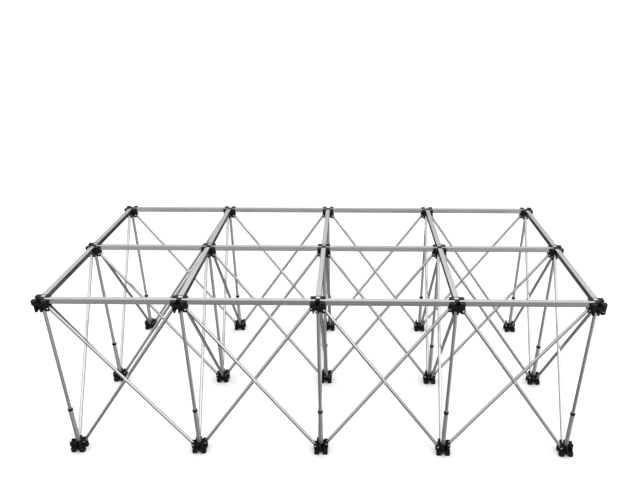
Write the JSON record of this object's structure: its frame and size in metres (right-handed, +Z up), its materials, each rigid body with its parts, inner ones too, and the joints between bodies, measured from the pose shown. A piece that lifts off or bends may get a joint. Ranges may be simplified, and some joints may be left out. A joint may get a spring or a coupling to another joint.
{
  "type": "folding stage riser frame",
  "caption": "Free-standing folding riser frame: crossed aluminium bars and telescopic posts between black hubs, topped by lift-out rails that carry a stage deck.",
  "frame": {"origin": "on the floor under the middle of the frame", "axes": "+X along the four bays, +Y along the two bays from front to back, +Z up to the deck plane"},
  "size_m": [2.059, 1.059, 0.702],
  "materials": {
    "rail_aluminium": "satin anodised extrusion",
    "rail_end_aluminium": "machined, bright",
    "tube_aluminium": "bright drawn tube",
    "post_aluminium": "satin drawn tube",
    "black_nylon": "moulded, fine spark texture",
    "plug_nylon": "moulded",
    "bright_steel": "bright zinc plated",
    "dark_steel": "black oxide"
  },
  "bodies": {
    "frame": {"clevis_pins": "bright_steel", "foot_hubs": "black_nylon", "foot_screws": "dark_steel", "hub_screws": "dark_steel", "post_collars": "black_nylon", "post_foot_plugs": "plug_nylon", "post_head_plugs": "plug_nylon", "post_inner_tubes": "post_aluminium", "post_outer_tubes": "post_aluminium", "scissor_rivets": "bright_steel", "scissor_washers": "bright_steel", "top_hubs": "black_nylon", "x_bars_falling": "tube_aluminium", "x_bars_rising": "tube_aluminium", "y_bars_falling": "tube_aluminium", "y_bars_rising": "tube_aluminium"},
    "rail_x_back_1": {"rail_x_back_1": "rail_aluminium", "rail_x_back_1_ends": "rail_end_aluminium"},
    "rail_x_back_2": {"rail_x_back_2": "rail_aluminium", "rail_x_back_2_ends": "rail_end_aluminium"},
    "rail_x_back_3": {"rail_x_back_3": "rail_aluminium", "rail_x_back_3_ends": "rail_end_aluminium"},
    "rail_x_back_4": {"rail_x_back_4": "rail_aluminium", "rail_x_back_4_ends": "rail_end_aluminium"},
    "rail_x_front_1": {"rail_x_front_1": "rail_aluminium", "rail_x_front_1_ends": "rail_end_aluminium"},
    "rail_x_front_2": {"rail_x_front_2": "rail_aluminium", "rail_x_front_2_ends": "rail_end_aluminium"},
    "rail_x_front_3": {"rail_x_front_3": "rail_aluminium", "rail_x_front_3_ends": "rail_end_aluminium"},
    "rail_x_front_4": {"rail_x_front_4": "rail_aluminium", "rail_x_front_4_ends": "rail_end_aluminium"},
    "rail_x_middle_1": {"rail_x_middle_1": "rail_aluminium", "rail_x_middle_1_ends": "rail_end_aluminium"},
    "rail_x_middle_2": {"rail_x_middle_2": "rail_aluminium", "rail_x_middle_2_ends": "rail_end_aluminium"},
    "rail_x_middle_3": {"rail_x_middle_3": "rail_aluminium", "rail_x_middle_3_ends": "rail_end_aluminium"},
    "rail_x_middle_4": {"rail_x_middle_4": "rail_aluminium", "rail_x_middle_4_ends": "rail_end_aluminium"},
    "rail_y_back_1": {"rail_y_back_1": "rail_aluminium", "rail_y_back_1_ends": "rail_end_aluminium"},
    "rail_y_back_2": {"rail_y_back_2": "rail_aluminium", "rail_y_back_2_ends": "rail_end_aluminium"},
    "rail_y_back_3": {"rail_y_back_3": "rail_aluminium", "rail_y_back_3_ends": "rail_end_aluminium"},
    "rail_y_back_4": {"rail_y_back_4": "rail_aluminium", "rail_y_back_4_ends": "rail_end_aluminium"},
    "rail_y_back_5": {"rail_y_back_5": "rail_aluminium", "rail_y_back_5_ends": "rail_end_aluminium"},
    "rail_y_front_1": {"rail_y_front_1": "rail_aluminium", "rail_y_front_1_ends": "rail_end_aluminium"},
    "rail_y_front_2": {"rail_y_front_2": "rail_aluminium", "rail_y_front_2_ends": "rail_end_aluminium"},
    "rail_y_front_3": {"rail_y_front_3": "rail_aluminium", "rail_y_front_3_ends": "rail_end_aluminium"},
    "rail_y_front_4": {"rail_y_front_4": "rail_aluminium", "rail_y_front_4_ends": "rail_end_aluminium"},
    "rail_y_front_5": {"rail_y_front_5": "rail_aluminium", "rail_y_front_5_ends": "rail_end_aluminium"}
  },
  "joints": [
    {"name": "lift_x_back_1", "type": "slide", "parent": "frame", "child": "rail_x_back_1", "axis": [0, 0, 1], "range_m": [0, 0.04]},
    {"name": "lift_x_back_2", "type": "slide", "parent": "frame", "child": "rail_x_back_2", "axis": [0, 0, 1], "range_m": [0, 0.04]},
    {"name": "lift_x_back_3", "type": "slide", "parent": "frame", "child": "rail_x_back_3", "axis": [0, 0, 1], "range_m": [0, 0.04]},
    {"name": "lift_x_back_4", "type": "slide", "parent": "frame", "child": "rail_x_back_4", "axis": [0, 0, 1], "range_m": [0, 0.04]},
    {"name": "lift_x_front_1", "type": "slide", "parent": "frame", "child": "rail_x_front_1", "axis": [0, 0, 1], "range_m": [0, 0.04]},
    {"name": "lift_x_front_2", "type": "slide", "parent": "frame", "child": "rail_x_front_2", "axis": [0, 0, 1], "range_m": [0, 0.04]},
    {"name": "lift_x_front_3", "type": "slide", "parent": "frame", "child": "rail_x_front_3", "axis": [0, 0, 1], "range_m": [0, 0.04]},
    {"name": "lift_x_front_4", "type": "slide", "parent": "frame", "child": "rail_x_front_4", "axis": [0, 0, 1], "range_m": [0, 0.04]},
    {"name": "lift_x_middle_1", "type": "slide", "parent": "frame", "child": "rail_x_middle_1", "axis": [0, 0, 1], "range_m": [0, 0.04]},
    {"name": "lift_x_middle_2", "type": "slide", "parent": "frame", "child": "rail_x_middle_2", "axis": [0, 0, 1], "range_m": [0, 0.04]},
    {"name": "lift_x_middle_3", "type": "slide", "parent": "frame", "child": "rail_x_middle_3", "axis": [0, 0, 1], "range_m": [0, 0.04]},
    {"name": "lift_x_middle_4", "type": "slide", "parent": "frame", "child": "rail_x_middle_4", "axis": [0, 0, 1], "range_m": [0, 0.04]},
    {"name": "lift_y_back_1", "type": "slide", "parent": "frame", "child": "rail_y_back_1", "axis": [0, 0, 1], "range_m": [0, 0.04]},
    {"name": "lift_y_back_2", "type": "slide", "parent": "frame", "child": "rail_y_back_2", "axis": [0, 0, 1], "range_m": [0, 0.04]},
    {"name": "lift_y_back_3", "type": "slide", "parent": "frame", "child": "rail_y_back_3", "axis": [0, 0, 1], "range_m": [0, 0.04]},
    {"name": "lift_y_back_4", "type": "slide", "parent": "frame", "child": "rail_y_back_4", "axis": [0, 0, 1], "range_m": [0, 0.04]},
    {"name": "lift_y_back_5", "type": "slide", "parent": "frame", "child": "rail_y_back_5", "axis": [0, 0, 1], "range_m": [0, 0.04]},
    {"name": "lift_y_front_1", "type": "slide", "parent": "frame", "child": "rail_y_front_1", "axis": [0, 0, 1], "range_m": [0, 0.04]},
    {"name": "lift_y_front_2", "type": "slide", "parent": "frame", "child": "rail_y_front_2", "axis": [0, 0, 1], "range_m": [0, 0.04]},
    {"name": "lift_y_front_3", "type": "slide", "parent": "frame", "child": "rail_y_front_3", "axis": [0, 0, 1], "range_m": [0, 0.04]},
    {"name": "lift_y_front_4", "type": "slide", "parent": "frame", "child": "rail_y_front_4", "axis": [0, 0, 1], "range_m": [0, 0.04]},
    {"name": "lift_y_front_5", "type": "slide", "parent": "frame", "child": "rail_y_front_5", "axis": [0, 0, 1], "range_m": [0, 0.04]}
  ]
}
